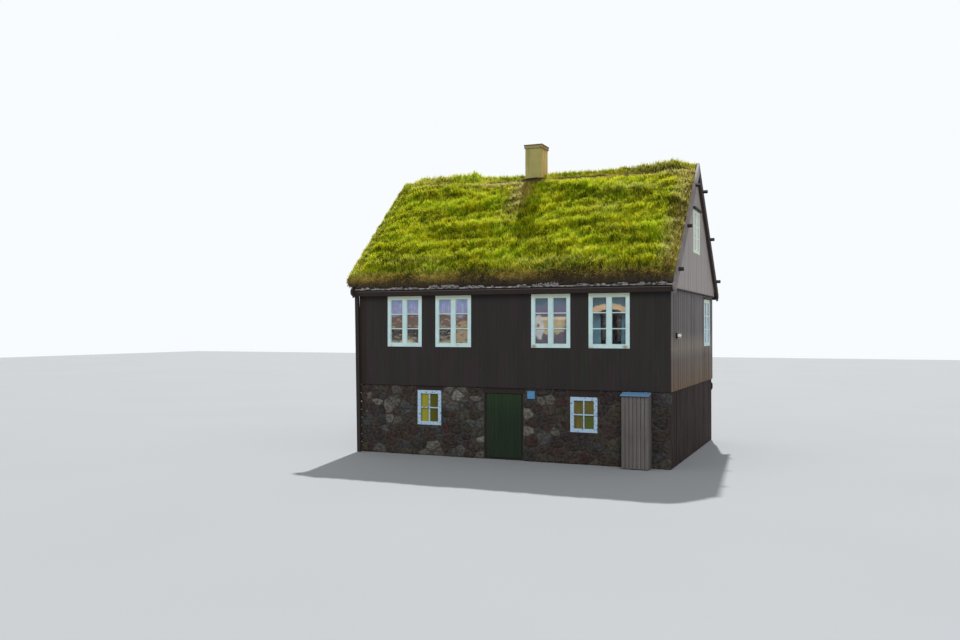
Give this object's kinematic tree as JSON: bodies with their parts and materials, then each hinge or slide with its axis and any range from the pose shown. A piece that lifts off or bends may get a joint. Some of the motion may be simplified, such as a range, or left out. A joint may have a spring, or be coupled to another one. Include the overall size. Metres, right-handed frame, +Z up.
{
  "type": "turf house",
  "caption": "Small turf-roofed timber house, tarred and boarded, on a rubble stone basement with a boarded door, a bin store and a chimney.",
  "frame": {"origin": "centre of the house's rectangle on its underside, under the ridge's middle", "axes": "+Z up, +X along the house to the right of its front, +Y from the front to the back"},
  "size_m": [9.47, 7.5853, 9.2196],
  "materials": {
    "rubble": "rough rubble stone",
    "floor_boards": "bare boards",
    "tarred_timber": "tarred, matt",
    "gable_boards": "weathered tarred boards",
    "old_timber": "oiled brown timber",
    "weathered_wood": "grey weathered wood",
    "white_paint": "painted white, slightly worn",
    "door_paint": "dark green paint",
    "pale_blue_paint": "pale blue paint, worn",
    "window_glass": "clear window glass",
    "bark": "peeling birch bark",
    "turf": "grass turf",
    "render": "ochre lime render",
    "lamp": "opal lamp glass on a black base"
  },
  "bodies": {
    "house": {"basement_floor": "rubble", "basement_front_left_wall": "rubble", "basement_front_right_wall": "rubble", "basement_rear_wall": "rubble", "basement_left_wall": "rubble", "basement_right_wall": "rubble", "basement_lintels": "old_timber", "vent_cover": "pale_blue_paint", "door_frame": "old_timber", "basement_windows": "white_paint", "basement_glass": "window_glass", "main_floor": "floor_boards", "front_wall": "tarred_timber", "rear_wall": "tarred_timber", "left_wall": "gable_boards", "right_wall": "gable_boards", "corner_boards": "old_timber", "corner_post": "tarred_timber", "front_windows": "white_paint", "rear_windows": "white_paint", "gable_windows": "white_paint", "loft_windows": "white_paint", "main_glass": "window_glass", "loft_glass": "window_glass", "loft_floor": "floor_boards", "left_gable": "gable_boards", "right_gable": "gable_boards", "gable_ledges": "tarred_timber", "window_drips": "tarred_timber", "front_roof_deck": "floor_boards", "rear_roof_deck": "floor_boards", "eave_boards": "tarred_timber", "eave_bark": "bark", "front_turf": "turf", "rear_turf": "turf", "ridge_turf": "turf", "turf_battens": "tarred_timber", "right_bargeboards": "weathered_wood", "left_bargeboards": "weathered_wood", "chimney_stack": "render", "chimney_cap": "render", "gable_lamp": "lamp", "bin_store": "weathered_wood"},
    "door": {"basement_door": "door_paint"},
    "lid": {"bin_lid": "pale_blue_paint"}
  },
  "joints": [
    {"name": "basement_door_hinge", "type": "hinge", "parent": "house", "child": "door", "pos_m": [-0.576, -3.366, 1], "axis": [0, 0, -1], "range_deg": [0, 90]},
    {"name": "bin_lid_hinge", "type": "hinge", "parent": "house", "child": "lid", "pos_m": [3.645, -3.45, 1.939], "axis": [-1, 0, 0], "range_deg": [0, 85]}
  ]
}
